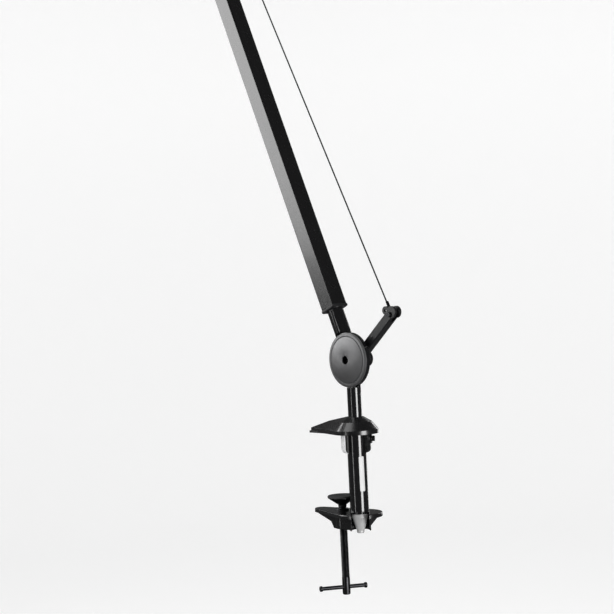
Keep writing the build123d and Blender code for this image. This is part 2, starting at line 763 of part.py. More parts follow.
def make_bulb():
    """Round-ended bulb whose neck sits in the holder."""
    top = -neck_length - cap_round - holder_length + 12
    low = top - bulb_length
    centre = low + bulb_diameter / 2
    neck = bulb_neck_diameter / 2
    globe = Pos(0, 0, centre) * Sphere(bulb_diameter / 2)
    joining = centre + 0.8 * bulb_diameter / 2
    throat = Pos(0, 0, joining + 8) * Cone(0.6 * bulb_diameter / 2, neck, 16)
    return globe + throat + rod(neck, joining + 16, top)


def make_switch_bezel():
    """Ring round the push button."""
    z = -neck_length - cap_height / 2
    ring = Cylinder(bezel_width / 2, 4.0) - Cylinder(button_diameter / 2 + slide_clearance, 5.0)
    return Pos(cap_diameter / 2 + 0.5, 0, z) * Rot(0, 90, 0) * ring - rod(cap_diameter / 2, z - 10, z + 10)


def make_switch_button():
    """Push button in the cap's side."""
    z = -neck_length - cap_height / 2
    start = cap_diameter / 2 - cap_wall
    length = cap_wall + button_proud + 2.0
    button = Rot(0, 90, 0) * Cylinder(button_diameter / 2, length)
    button = fillet(button.edges().group_by(Axis.X)[-1], 1.2)
    return Pos(start + length / 2, 0, z) * button


# ---- write every node -------------------------------------------------------------------------
upper_joint_washers = [elbow_place * washer for washer in make_washers()]
base_joint_washers = [base_place * washer for washer in make_washers()]
lower_hub = make_arm_hub(hub_disc_diameter, root_bar_diameter, tube_start, lower_tube_size)
elbow_turn = Pos(0, 0, lower_arm_length) * Rot(0, 180, 0)
tube_end = lower_arm_length - tube_start
elbow_front_lip = elbow_turn * make_tube_collar(lower_tube_size, root_bar_diameter, tube_start - collar_plate)
base_lip = make_tube_collar(lower_tube_size, root_bar_diameter, tube_start - collar_plate)

nodes = {
    "post_tube": make_post(),
    "stem_bushes": make_bushes(),
    "top_jaw": make_top_jaw(),
    "top_jaw_pad": make_top_jaw_pad(),
    "pinch_collar": make_collar(),
    "pinch_screw": make_pinch_screw(),
    "edge_clip": make_edge_clip(),
    "lower_jaw": make_lower_jaw(),
    "post_cone": make_post_cone(),
    "thread_insert": make_thread_insert(),
    "post_screw": make_post_screw(),
    "pad_cup": make_pad_cup(),
    "pad_face": make_pad_face(),
    "clamp_spindle": make_spindle(),
    "tommy_bar": make_tommy_bar(),
    "stem": make_stem(),
    "base_pivot_pin": base_place * make_pivot_pin(),
    "base_cap_nut": base_place * make_cap_nut(),
    "base_washers": Compound(base_joint_washers),
    "lower_arm_hub": lower_place * lower_hub,
    "lower_arm_tube": lower_place * make_square_tube(lower_tube_size, tube_start, tube_end),
    "lower_arm_lips": Compound([lower_place * base_lip, lower_place * elbow_front_lip]),
    "elbow_hub": lower_place * elbow_turn * lower_hub,
    "base_cover": base_place * make_cover(),
    "elbow_cover": elbow_place * make_cover(),
    "cable_lever": lever_place * make_base_lever(),
    "lever_cable_pin": lever_place * make_cable_pin(lever_length),
    "tension_cable": make_cable(),
    "cable_eyes": make_cable_eyes(),
    "upper_arm_hub": upper_place * make_upper_hub(),
    "upper_arm_tube": upper_place * make_square_tube(upper_tube_size, upper_tube_start, upper_arm_length),
    "tail_lever": tail_lever_place * make_lever(tail_lever_length, 0),
    "tail_cable_pin": tail_lever_place * make_cable_pin(tail_lever_length),
    "elbow_pivot_pin": elbow_place * make_pivot_pin(),
    "elbow_cap_nut": elbow_place * make_cap_nut(),
    "elbow_washers": Compound(upper_joint_washers),
    "tail_rod": upper_place * make_tail_rod(),
    "tail_stop": upper_place * make_tail_stop(),
    "counterweight": upper_place * make_counterweight(),
    "counterweight_screw": upper_place * make_weight_screw(),
    "head_swivel_plug": upper_place * make_head_plug(),
    "head_knuckle": head_place * make_head_knuckle(),
    "tilt_pin": head_place * make_tilt_pin(),
    "tilt_wing_nut": head_place * make_wing_nut(),
    "socket_cap": tilt_place * make_socket_cap(),
    "shade": tilt_place * make_shade(),
    "lampholder": tilt_place * make_lampholder(),
    "bulb": tilt_place * make_bulb(),
    "switch_bezel": tilt_place * make_switch_bezel(),
    "switch_button": tilt_place * make_switch_button(),
}

for name, shape in nodes.items():
    save(shape, name)
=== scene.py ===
import json
import math

import bmesh
import bpy
from mathutils import Matrix, Vector


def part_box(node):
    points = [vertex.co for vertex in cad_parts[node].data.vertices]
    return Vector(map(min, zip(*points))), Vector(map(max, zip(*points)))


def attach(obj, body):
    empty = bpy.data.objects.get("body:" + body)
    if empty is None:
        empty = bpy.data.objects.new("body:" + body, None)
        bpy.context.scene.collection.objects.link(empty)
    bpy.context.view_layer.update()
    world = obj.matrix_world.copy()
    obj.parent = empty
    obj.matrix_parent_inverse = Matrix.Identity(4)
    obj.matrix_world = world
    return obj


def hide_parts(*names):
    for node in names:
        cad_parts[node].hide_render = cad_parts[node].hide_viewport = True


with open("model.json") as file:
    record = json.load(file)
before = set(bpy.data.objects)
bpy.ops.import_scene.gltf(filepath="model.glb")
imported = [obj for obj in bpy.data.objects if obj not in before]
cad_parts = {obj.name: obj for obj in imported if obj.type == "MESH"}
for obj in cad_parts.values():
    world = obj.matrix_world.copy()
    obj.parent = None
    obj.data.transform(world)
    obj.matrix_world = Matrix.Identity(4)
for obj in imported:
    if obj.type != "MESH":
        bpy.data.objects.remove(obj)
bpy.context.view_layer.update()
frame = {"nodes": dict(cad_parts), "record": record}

# ---- places, in metres, worked out from the frame ----------------------------------------------
MM = 0.001


def centre(node):
    """Middle of a node's box at rest."""
    low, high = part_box(node)
    return (low + high) / 2


def joint(name):
    """A joint's row in the record."""
    return next(j for j in frame["record"]["behaviour"]["joints"] if j["name"] == name)


BASE = Vector(joint("base_tilt")["pos_m"])
ELBOW = Vector(joint("elbow_tilt")["pos_m"])
POST_X = joint("stem_swivel")["pos_m"][0]
TILT = Vector(joint("head_tilt")["pos_m"])
LOWER_AXIS = (ELBOW - BASE).normalized()
UP = Vector((0, 0, 1))
LEVER_PIN = centre("lever_cable_pin")
TAIL_PIN = centre("tail_cable_pin")

# ---- sizes of what is modelled here ------------------------------------------------------------
SPINDLE_RADIUS = 4.0 * MM
SPINDLE_TIP_RADIUS = 2.5 * MM
SPINDLE_CHAMFER = 0.8 * MM
SHOULDER_BELOW_TOP = 4.9 * MM      # the shoulder under the pad, below the tip's end
THREAD_START = 17.0 * MM           # above the spindle's lower end
THREAD_PITCH = 1.25 * MM
THREAD_DEPTH = 0.45 * MM
CROSS_HOLE_RADIUS = 2.05 * MM
CROSS_HOLE_REACH = 3 * SPINDLE_RADIUS
CABLE_RADIUS = 0.75 * MM
CABLE_LAY = 9.0 * MM
STRANDS = 6
STRAND_SWELL = 1.04                # strands touch their neighbours
LEVER_EYE_RADIUS = 3.5 * MM
TAIL_EYE_RADIUS = 4.6 * MM
KNOB_LENGTH = 8.0 * MM
KNOB_RADIUS = 7.0 * MM
KNOB_RIDGES = 40
KNOB_RIDGE = 0.35 * MM
KNOB_SHANK = 3.0 * MM
STRIP_TURN = math.radians(-17.0)   # round the post, from +X
STRIP_LOW = -56.0 * MM
STRIP_HIGH = -21.5 * MM
STRIP_WIDTH = 5.4 * MM
STRIP_CORNER = 1.2 * MM
STRIP_THICK = 0.12 * MM
BULB_THREAD_PITCH = 3.6 * MM
BULB_THREAD_DEPTH = 0.5 * MM
BULB_CAP_RADIUS = 13.5 * MM
BULB_CAP_BELOW = 5.5 * MM          # how far the cap shows below the holder's mouth
BULB_THREAD_END = 0.2 * MM         # the thread ends this far below the mouth
BEAD_RADIUS = 1.3 * MM
TUBE_START = 57.0 * MM
LIP_THICK = 2.5 * MM
LIP_RING_RADIUS = 8.75 * MM
LIP_RING_THICK = 0.55 * MM
RIVET_ALONG = 34.0 * MM
RIVET_RADIUS = 1.3 * MM
RIVET_PROFILE = [                  # height above the lever's face, share of the radius
    (-0.2 * MM, 1.0),
    (0.3 * MM, 1.0),
    (0.6 * MM, 0.8),
    (0.75 * MM, 0.4),
]

# ---- how finely round things are divided -------------------------------------------------------
SPINDLE_POINTS = 36
CROSS_HOLE_POINTS = 32
THREAD_RINGS_PER_TURN = 10
STRAND_POINTS = 6
STRAND_RINGS_PER_LAY = 12
CORE_POINTS = 8
BULB_CAP_POINTS = 48
STRIP_COLUMNS = 24
RIVET_POINTS = 24
TORUS_STEPS = 96
TORUS_SIDES = 12


# ---- mesh helpers ------------------------------------------------------------------------------
def piece(name, shape, look, body, replaced=None, sharp=35.0):
    """Turn a bmesh into a finished piece that rides on a body."""
    bmesh.ops.recalc_face_normals(shape, faces=shape.faces)
    mesh = bpy.data.meshes.new(name)
    shape.to_mesh(mesh)
    shape.free()
    for face in mesh.polygons:
        face.use_smooth = True
    mesh.set_sharp_from_angle(angle=math.radians(sharp))
    mesh.materials.append(looks[look])
    thing = bpy.data.objects.new(name, mesh)
    bpy.context.scene.collection.objects.link(thing)
    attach(thing, body)
    if replaced:
        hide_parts(replaced)
    return thing


def skin(shape, rings, closed=False):
    """Join closed rings of points into a wall; flat ends unless the last meets the first."""
    rows = [[shape.verts.new(point) for point in ring] for ring in rings]
    pairs = list(zip(rows, rows[1:]))
    if closed:
        pairs.append((rows[-1], rows[0]))
    for near, far in pairs:
        for i in range(len(near)):
            j = (i + 1) % len(near)
            shape.faces.new((near[i], near[j], far[j], far[i]))
    if not closed:
        shape.faces.new(rows[0])
        shape.faces.new(rows[-1])


def axes_of(direction):
    """Two unit vectors square to a direction."""
    first = direction.orthogonal().normalized()
    return first, direction.cross(first)


def ring(middle, direction, radii):
    """A ring of points about a direction, with one radius for each point."""
    first, second = axes_of(direction)
    count = len(radii)
    points = []
    for i, radius in enumerate(radii):
        turn = 2 * math.pi * i / count
        points.append(middle + radius * (math.cos(turn) * first + math.sin(turn) * second))
    return points


def torus(name, middle, direction, radius, thickness, look, body):
    """A thin round bead about a direction."""
    first, second = axes_of(direction)
    angles = [2 * math.pi * k / TORUS_SIDES for k in range(TORUS_SIDES)]
    rings = []
    for i in range(TORUS_STEPS):
        turn = 2 * math.pi * i / TORUS_STEPS
        out = math.cos(turn) * first + math.sin(turn) * second
        hub = middle + radius * out
        around = [math.cos(a) * out + math.sin(a) * direction for a in angles]
        rings.append([hub + thickness * way for way in around])
    shape = bmesh.new()
    skin(shape, rings, closed=True)
    piece(name, shape, look, body)


def thread_rings(low, high, radius, depth, pitch, points):
    """Rings whose radius follows a rounded helical thread, fading in and out at the ends."""
    steps = max(2, round((high - low) / pitch * THREAD_RINGS_PER_TURN))
    rings = []
    for i in range(steps + 1):
        z = low + (high - low) * i / steps
        fade = min(1.0, (z - low) / pitch, (high - z) / pitch)
        radii = []
        for k in range(points):
            wave = 0.5 - 0.5 * math.cos(2 * math.pi * (z / pitch - k / points))
            radii.append(radius - depth * fade * wave)
        rings.append((z, radii))
    return rings


# ---- node helpers ------------------------------------------------------------------------------
class Nodes:
    """Short calls for building one material's nodes."""

    def __init__(self, name):
        self.material = bpy.data.materials.new(name)
        self.material.use_nodes = True
        self.tree = self.material.node_tree
        self.shader = self.tree.nodes["Principled BSDF"]
        coordinates = self.tree.nodes.new("ShaderNodeTexCoord")
        self.place = coordinates.outputs["Object"]

    def new(self, kind, **inputs):
        """Add a node and set or link its inputs by name."""
        node = self.tree.nodes.new(kind)
        for key, value in inputs.items():
            name = key.replace("_", " ")
            if hasattr(value, "is_linked"):
                self.tree.links.new(value, node.inputs[name])
            else:
                node.inputs[name].default_value = value
        return node

    def set(self, **values):
        """Set constants on the shader's own sockets."""
        for key, value in values.items():
            self.shader.inputs[key.replace("_", " ")].default_value = value

    def link(self, output, socket):
        """Link an output to one of the shader's sockets."""
        self.tree.links.new(output, self.shader.inputs[socket])

    def noise(self, scale, detail=4.0, stretch=None):
        """Noise at a scale per metre, stretched along an axis if asked."""
        vector = self.place
        if stretch:
            mapping = self.new("ShaderNodeMapping", Vector=self.place)
            mapping.inputs["Scale"].default_value = stretch
            vector = mapping.outputs["Vector"]
        node = self.new("ShaderNodeTexNoise", Vector=vector, Scale=scale, Detail=detail)
        return node.outputs["Fac"]

    def spread(self, value, low, high, new_low, new_high):
        """Map a value from one range to another."""
        node = self.new("ShaderNodeMapRange", Value=value)
        node.inputs["From Min"].default_value = low
        node.inputs["From Max"].default_value = high
        node.inputs["To Min"].default_value = new_low
        node.inputs["To Max"].default_value = new_high
        return node.outputs["Result"]

    def mix(self, factor, first, second):
        """Blend two colours."""
        node = self.tree.nodes.new("ShaderNodeMix")
        node.data_type = "RGBA"
        self.tree.links.new(factor, node.inputs["Factor"])
        for colour, socket in ((first, node.inputs[6]), (second, node.inputs[7])):
            if hasattr(colour, "is_linked"):
                self.tree.links.new(colour, socket)
            else:
                socket.default_value = (*colour, 1.0)
        return node.outputs[2]

    def distance(self, middle, keep):
        """Distance from a point, counting only the axes that are kept."""
        away = self.new("ShaderNodeVectorMath")
        away.operation = "SUBTRACT"
        self.tree.links.new(self.place, away.inputs[0])
        away.inputs[1].default_value = middle
        flat = self.new("ShaderNodeVectorMath")
        flat.operation = "MULTIPLY"
        self.tree.links.new(away.outputs[0], flat.inputs[0])
        flat.inputs[1].default_value = keep
        length = self.new("ShaderNodeVectorMath")
        length.operation = "LENGTH"
        self.tree.links.new(flat.outputs[0], length.inputs[0])
        return length.outputs["Value"], flat.outputs[0]

    def bump(self, height, strength, distance, soften=0.0):
        """Fine relief, with the hard edges rounded off by a small radius if asked."""
        node = self.new("ShaderNodeBump", Height=height, Strength=strength, Distance=distance)
        if soften:
            bevel = self.new("ShaderNodeBevel", Radius=soften)
            bevel.samples = 4
            self.tree.links.new(bevel.outputs["Normal"], node.inputs["Normal"])
        self.link(node.outputs["Normal"], "Normal")


# ---- materials ---------------------------------------------------------------------------------
def paint(name, colour, rough, coat, peel=0.05):
    """Sprayed enamel: slight cloudiness, fine orange peel and rounded paint edges."""
    nodes = Nodes(name)
    cloud = nodes.spread(nodes.noise(scale=38.0), 0.3, 0.7, 0.0, 1.0)
    smears = nodes.noise(scale=170.0, detail=6.0)
    nodes.link(nodes.mix(cloud, colour, [c * 1.25 for c in colour]), "Base Color")
    nodes.link(nodes.spread(smears, 0.3, 0.7, rough * 0.94, rough * 1.08), "Roughness")
    nodes.set(Coat_Weight=coat, Coat_Roughness=0.06, Specular_IOR_Level=0.5)
    grain = nodes.noise(scale=1500.0, detail=2.0)
    nodes.bump(grain, strength=peel, distance=0.12 * MM, soften=0.4 * MM)
    return nodes.material


def metal(name, colour, rough, stretch, scale, metallic=1.0):
    """Drawn, turned or plated metal with fine lines along one direction."""
    nodes = Nodes(name)
    nodes.set(Metallic=metallic)
    lines = nodes.noise(scale, detail=5.0, stretch=stretch)
    nodes.link(nodes.mix(lines, [c * 0.8 for c in colour], colour), "Base Color")
    nodes.link(nodes.spread(lines, 0.25, 0.75, rough * 0.7, rough * 1.4), "Roughness")
    nodes.bump(lines, strength=0.12, distance=0.1 * MM, soften=0.2 * MM)
    return nodes.material


def turned_cover(name, colour, middle):
    """Spun disc: fine circular lines about the joint's axis that fan the light up and down."""
    nodes = Nodes(name)
    radius, _ = nodes.distance(middle, (1, 0, 1))
    lines = nodes.tree.nodes.new("ShaderNodeTexNoise")
    lines.noise_dimensions = "1D"
    lines.inputs["Scale"].default_value = 2600.0
    lines.inputs["Detail"].default_value = 3.0
    nodes.tree.links.new(radius, lines.inputs["W"])
    worn = nodes.spread(nodes.noise(scale=90.0), 0.35, 0.7, 0.0, 1.0)
    nodes.link(nodes.mix(worn, colour, [c * 1.12 for c in colour]), "Base Color")
    nodes.link(nodes.spread(lines.outputs["Fac"], 0.3, 0.7, 0.42, 0.5), "Roughness")
    nodes.set(Metallic=0.8, Anisotropic=0.4, Coat_Weight=0.12, Coat_Roughness=0.25)
    tangent = nodes.tree.nodes.new("ShaderNodeTangent")
    tangent.direction_type = "RADIAL"
    tangent.axis = "Y"
    nodes.link(tangent.outputs["Tangent"], "Tangent")
    nodes.bump(lines.outputs["Fac"], strength=0.12, distance=0.08 * MM, soften=0.3 * MM)
    return nodes.material


def rubber(name, colour):
    """Matt moulded rubber with a fine pebble grain."""
    nodes = Nodes(name)
    speck = nodes.noise(scale=1400.0, detail=6.0)
    nodes.link(nodes.mix(speck, colour, [c * 1.8 for c in colour]), "Base Color")
    nodes.link(nodes.spread(speck, 0.2, 0.8, 0.6, 0.85), "Roughness")
    nodes.set(Specular_IOR_Level=0.3)
    nodes.bump(speck, strength=0.35, distance=0.2 * MM)
    return nodes.material


def plastic(name, colour, rough):
    """Moulded plastic with a light spark-eroded texture."""
    nodes = Nodes(name)
    grain = nodes.noise(scale=2600.0, detail=3.0)
    cloud = nodes.noise(scale=60.0)
    nodes.link(nodes.mix(cloud, colour, [c * 1.3 for c in colour]), "Base Color")
    nodes.link(nodes.spread(grain, 0.2, 0.8, rough * 0.85, rough * 1.15), "Roughness")
    nodes.set(Specular_IOR_Level=0.4)
    nodes.bump(grain, strength=0.15, distance=0.1 * MM, soften=0.3 * MM)
    return nodes.material


def shade_paint(name, outside, inside):
    """Gloss outside and pale reflecting inside, told apart by which way the wall faces."""
    nodes = Nodes(name)
    geometry = nodes.tree.nodes.new("ShaderNodeNewGeometry")
    facing = nodes.tree.nodes.new("ShaderNodeVectorTransform")
    facing.vector_type = "NORMAL"
    facing.convert_from = "WORLD"
    facing.convert_to = "OBJECT"
    nodes.tree.links.new(geometry.outputs["Normal"], facing.inputs["Vector"])
    _, outward = nodes.distance((TILT.x, 0, TILT.z), (1, 1, 0))
    dot = nodes.new("ShaderNodeVectorMath")
    dot.operation = "DOT_PRODUCT"
    nodes.tree.links.new(outward, dot.inputs[0])
    nodes.tree.links.new(facing.outputs[0], dot.inputs[1])
    inward = nodes.spread(dot.outputs["Value"], -0.002, -0.004, 0.0, 1.0)
    cloud = nodes.noise(scale=40.0)
    outer = nodes.mix(cloud, outside, [c * 1.4 for c in outside])
    inner = nodes.mix(cloud, inside, [c * 0.93 for c in inside])
    nodes.link(nodes.mix(inward, outer, inner), "Base Color")
    nodes.link(nodes.spread(inward, 0.0, 1.0, 0.2, 0.5), "Roughness")
    nodes.set(Coat_Weight=0.3)
    nodes.bump(nodes.noise(scale=1500.0, detail=2.0), strength=0.06, distance=0.12 * MM)
    return nodes.material


def frosted_glass(name):
    """White-coated glass."""
    nodes = Nodes(name)
    cloud = nodes.noise(scale=25.0)
    frost = nodes.noise(scale=900.0)
    nodes.link(nodes.mix(cloud, (0.93, 0.92, 0.88), (0.97, 0.96, 0.93)), "Base Color")
    nodes.link(nodes.spread(frost, 0.3, 0.7, 0.3, 0.42), "Roughness")
    nodes.set(Transmission_Weight=0.25, Subsurface_Weight=0.2)
    nodes.bump(nodes.noise(scale=2200.0, detail=2.0), strength=0.05, distance=0.1 * MM)
    return nodes.material


BLACK = (0.0022, 0.0022, 0.0025)
TUBE_BLACK = (0.0018, 0.0018, 0.002)
LEVER_BLACK = (0.0045, 0.0045, 0.005)
COVER_GREY = (0.1, 0.1, 0.102)
UPRIGHT = (1, 1, 0.1)              # noise stretched along Z
looks = {
    "black_gloss": paint("black_gloss", BLACK, rough=0.13, coat=0.35),
    "tube_satin": paint("tube_satin", TUBE_BLACK, rough=0.26, coat=0.1),
    "jaw_gloss": paint("jaw_gloss", BLACK, rough=0.24, coat=0.2, peel=0.06),
    "lever_satin": paint("lever_satin", LEVER_BLACK, rough=0.3, coat=0.1, peel=0.1),
    "base_cover_turned": turned_cover("base_cover_turned", COVER_GREY, BASE),
    "elbow_cover_turned": turned_cover("elbow_cover_turned", COVER_GREY, ELBOW),
    "bright_steel": metal(
        "bright_steel", (0.68, 0.68, 0.7), rough=0.25, stretch=(1, 1, 0.08), scale=900.0,
    ),
    "clip_steel": metal(
        "clip_steel", (0.75, 0.75, 0.76), rough=0.3, stretch=(0.2, 0.2, 1), scale=1500.0,
        metallic=0.45,
    ),
    # pale grey kept matt so it reads light from every side: partly the steel's own tone, partly a
    # painted highlight standing in for the light reflected along the post cone
    "cone_steel_and_highlight": metal(
        "cone_steel_and_highlight", (0.34, 0.34, 0.34), rough=0.42, stretch=UPRIGHT, scale=1200.0, metallic=0.35,
    ),
    "dark_steel": metal(
        "dark_steel", (0.05, 0.05, 0.052), rough=0.32, stretch=(1, 0.1, 1), scale=1300.0,
    ),
    "spindle_steel": metal(
        "spindle_steel", (0.03, 0.03, 0.032), rough=0.3, stretch=(1, 1, 0.15), scale=1600.0,
    ),
    "cable_steel": metal(
        "cable_steel", (0.012, 0.012, 0.013), rough=0.4, stretch=(1, 1, 1), scale=2500.0,
    ),
    "brass": metal("brass", (0.62, 0.5, 0.3), rough=0.28, stretch=UPRIGHT, scale=900.0),
    "pad_rubber": rubber("pad_rubber", (0.01, 0.01, 0.0105)),
    "nylon": plastic("nylon", (0.03, 0.03, 0.032), rough=0.45),
    "satin_plastic": plastic("satin_plastic", (0.006, 0.006, 0.0065), rough=0.32),
    "strip_vinyl": plastic("strip_vinyl", (0.3, 0.3, 0.3), rough=0.45),
    "button_red": plastic("button_red", (0.5, 0.03, 0.025), rough=0.25),
    "porcelain": plastic("porcelain", (0.78, 0.77, 0.73), rough=0.18),
    "shade_paint": shade_paint("shade_paint", BLACK, inside=(0.82, 0.81, 0.77)),
    "bulb_glass": frosted_glass("bulb_glass"),
}

wanted = {
    "tube_satin": ["lower_arm_tube", "upper_arm_tube"],
    "jaw_gloss": ["top_jaw", "lower_jaw", "pinch_collar"],
    "lever_satin": ["cable_lever", "tail_lever"],
    "base_cover_turned": ["base_cover"],
    "elbow_cover_turned": ["elbow_cover"],
    "bright_steel": ["tail_rod", "tail_cable_pin", "tilt_pin"],
    "clip_steel": ["edge_clip"],
    # the post cone's pale grey is partly a painted highlight
    "cone_steel_and_highlight": ["post_cone", "post_screw"],
    "dark_steel": [
        "pinch_screw", "base_cap_nut", "elbow_cap_nut", "tail_stop", "counterweight_screw",
        "tilt_wing_nut", "pad_cup", "base_pivot_pin", "elbow_pivot_pin", "thread_insert",
        "lever_cable_pin",
    ],
    "spindle_steel": ["clamp_spindle", "tommy_bar"],
    "cable_steel": ["tension_cable", "cable_eyes"],
    "pad_rubber": ["top_jaw_pad", "pad_face"],
    "nylon": ["base_washers", "elbow_washers", "stem_bushes"],
    "satin_plastic": ["lower_arm_lips", "head_swivel_plug", "switch_bezel"],
    "button_red": ["switch_button"],
    "porcelain": ["lampholder"],
    "shade_paint": ["shade"],
    "bulb_glass": ["bulb"],
}
look_of = {node: look for look, names in wanted.items() for node in names}
for node, thing in frame["nodes"].items():
    thing.data.materials.clear()
    thing.data.materials.append(looks[look_of.get(node, "black_gloss")])


# ---- pieces modelled here ----------------------------------------------------------------------
def make_spindle():
    """The clamping screw with its rounded thread and cross hole."""
    low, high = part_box("clamp_spindle")
    shoulder = high.z - SHOULDER_BELOW_TOP
    end = [SPINDLE_RADIUS - SPINDLE_CHAMFER] * SPINDLE_POINTS
    shaft = [SPINDLE_RADIUS] * SPINDLE_POINTS
    tip = [SPINDLE_TIP_RADIUS] * SPINDLE_POINTS
    thread = thread_rings(
        low.z + THREAD_START, shoulder, SPINDLE_RADIUS, THREAD_DEPTH, THREAD_PITCH, SPINDLE_POINTS,
    )
    rows = [(low.z, end), (low.z + SPINDLE_CHAMFER, shaft), *thread, (shoulder, tip), (high.z, tip)]
    shape = bmesh.new()
    skin(shape, [ring(Vector((0, 0, z)), UP, radii) for z, radii in rows])
    spindle = piece(
        "spindle_thread", shape, "spindle_steel", "spindle", "clamp_spindle",
    )
    bar = centre("tommy_bar")
    slide = Vector(joint("tommy_bar_slide")["axis"]).normalized()
    cutter = bmesh.new()
    mouths = [Vector((0, 0, bar.z)) + way * CROSS_HOLE_REACH * slide for way in (-1, 1)]
    bore = [CROSS_HOLE_RADIUS] * CROSS_HOLE_POINTS
    skin(cutter, [ring(mouth, slide, bore) for mouth in mouths])
    bmesh.ops.recalc_face_normals(cutter, faces=cutter.faces)
    mesh = bpy.data.meshes.new("cross_hole")
    cutter.to_mesh(mesh)
    cutter.free()
    tool = bpy.data.objects.new("cross_hole", mesh)
    bpy.context.scene.collection.objects.link(tool)
    cut = spindle.modifiers.new("hole", "BOOLEAN")
    cut.object = tool
    cut.operation = "DIFFERENCE"
    view = bpy.context.evaluated_depsgraph_get()
    spindle.data = bpy.data.meshes.new_from_object(spindle.evaluated_get(view))
    spindle.modifiers.clear()
    bpy.data.objects.remove(tool)


def make_cable():
    """Wire rope: strands laid in a helix round a core."""
    along = (TAIL_PIN - LEVER_PIN).normalized()
    start = LEVER_PIN + along * LEVER_EYE_RADIUS
    length = (TAIL_PIN - LEVER_PIN).length - LEVER_EYE_RADIUS - TAIL_EYE_RADIUS
    first, second = axes_of(along)
    strand_radius = CABLE_RADIUS / 3
    steps = round(length / CABLE_LAY * STRAND_RINGS_PER_LAY)
    strand_radii = [strand_radius * STRAND_SWELL] * STRAND_POINTS
    core_radii = [strand_radius] * CORE_POINTS
    shape = bmesh.new()
    for strand in range(STRANDS):
        rings = []
        for i in range(steps + 1):
            s = length * i / steps
            turn = 2 * math.pi * (s / CABLE_LAY + strand / STRANDS)
            out = math.cos(turn) * first + math.sin(turn) * second
            middle = start + s * along + 2 * strand_radius * out
            rings.append(ring(middle, along, strand_radii))
        skin(shape, rings)
    skin(shape, [ring(start + s * along, along, core_radii) for s in (0, length)])
    piece("wire_rope", shape, "cable_steel", "cable", "tension_cable", sharp=60.0)


def make_weight_knob():
    """The lock screw with its knurled knob."""
    low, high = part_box("counterweight_screw")
    middle = (low + high) / 2
    across = Vector((0, 1, 0))
    count = 2 * KNOB_RIDGES
    ridged = [KNOB_RADIUS - (k % 2) * KNOB_RIDGE for k in range(count)]
    plain = [KNOB_RADIUS - 2 * KNOB_RIDGE] * count
    bevel = 2 * KNOB_RIDGE
    rows = [
        (low.y, plain), (low.y + bevel, ridged), (low.y + KNOB_LENGTH - bevel, ridged),
        (low.y + KNOB_LENGTH, plain), (low.y + KNOB_LENGTH, [KNOB_SHANK] * count),
        (high.y, [KNOB_SHANK] * count),
    ]
    shape = bmesh.new()
    skin(shape, [ring(Vector((middle.x, y, middle.z)), across, radii) for y, radii in rows])
    piece(
        "knurled_knob", shape, "dark_steel", "counterweight", "counterweight_screw",
    )


def make_post_strip():
    """A blank pale strip on the post."""
    low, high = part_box("post_tube")
    radius = (high.x - low.x) / 2
    half = STRIP_WIDTH / 2
    middle = (STRIP_LOW + STRIP_HIGH) / 2
    tall = (STRIP_HIGH - STRIP_LOW) / 2
    post = Vector((POST_X, 0, middle))
    rings = []
    for i in range(STRIP_COLUMNS + 1):
        u = -half + STRIP_WIDTH * i / STRIP_COLUMNS
        into = max(0.0, abs(u) - (half - STRIP_CORNER))
        reach = tall - STRIP_CORNER + math.sqrt(max(0.0, STRIP_CORNER ** 2 - into ** 2))
        rise = Vector((0, 0, reach))
        turn = STRIP_TURN + u / radius
        out = Vector((math.cos(turn), math.sin(turn), 0))
        back = post + radius * out
        face = post + (radius + STRIP_THICK) * out
        rings.append([back - rise, face - rise, face + rise, back + rise])
    shape = bmesh.new()
    skin(shape, rings)
    piece("blank_strip", shape, "strip_vinyl", "clamp")


def make_bulb_cap():
    """The bulb's threaded metal cap, seen between the glass and the holder."""
    low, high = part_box("bulb")
    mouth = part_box("lampholder")[0].z
    rows = thread_rings(
        mouth - BULB_CAP_BELOW, mouth - BULB_THREAD_END,
        BULB_CAP_RADIUS, BULB_THREAD_DEPTH, BULB_THREAD_PITCH, BULB_CAP_POINTS,
    )
    inner = [BULB_CAP_RADIUS - 2 * BULB_THREAD_DEPTH] * BULB_CAP_POINTS
    rows.append((mouth + BULB_THREAD_PITCH, inner))
    hub = Vector(((low.x + high.x) / 2, 0, 0))
    shape = bmesh.new()
    skin(shape, [ring(hub + Vector((0, 0, z)), UP, radii) for z, radii in rows])
    piece("bulb_cap", shape, "brass", "head")


def make_shade_bead():
    """The rolled rim of the shade."""
    low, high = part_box("shade")
    rim = Vector(((low.x + high.x) / 2, 0, low.z + BEAD_RADIUS))
    radius = (high.x - low.x) / 2
    torus("shade_bead", rim, UP, radius, BEAD_RADIUS, "black_gloss", "head")


def make_lip_ring(name, hub, direction):
    """The rounded edge where a root bar enters the square tube."""
    spot = hub + direction * (TUBE_START - LIP_THICK)
    torus(
        name, spot, direction, LIP_RING_RADIUS, LIP_RING_THICK,
        "satin_plastic", "lower_arm",
    )


def make_rivet():
    """The small domed rivet on the lever's front face."""
    along = Vector((LEVER_PIN.x - BASE.x, 0, LEVER_PIN.z - BASE.z)).normalized()
    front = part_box("cable_lever")[0].y
    across = Vector((0, -1, 0))
    spot = Vector((BASE.x, front, BASE.z)) + along * RIVET_ALONG
    rings = []
    for height, share in RIVET_PROFILE:
        rings.append(ring(spot + across * height, across, [RIVET_RADIUS * share] * RIVET_POINTS))
    shape = bmesh.new()
    skin(shape, rings)
    piece("lever_rivet", shape, "lever_satin", "lever")


make_spindle()
make_cable()
make_weight_knob()
make_post_strip()
make_bulb_cap()
make_shade_bead()
make_lip_ring("base_lip_ring", BASE, LOWER_AXIS)
make_lip_ring("elbow_lip_ring", ELBOW, -LOWER_AXIS)
make_rivet()

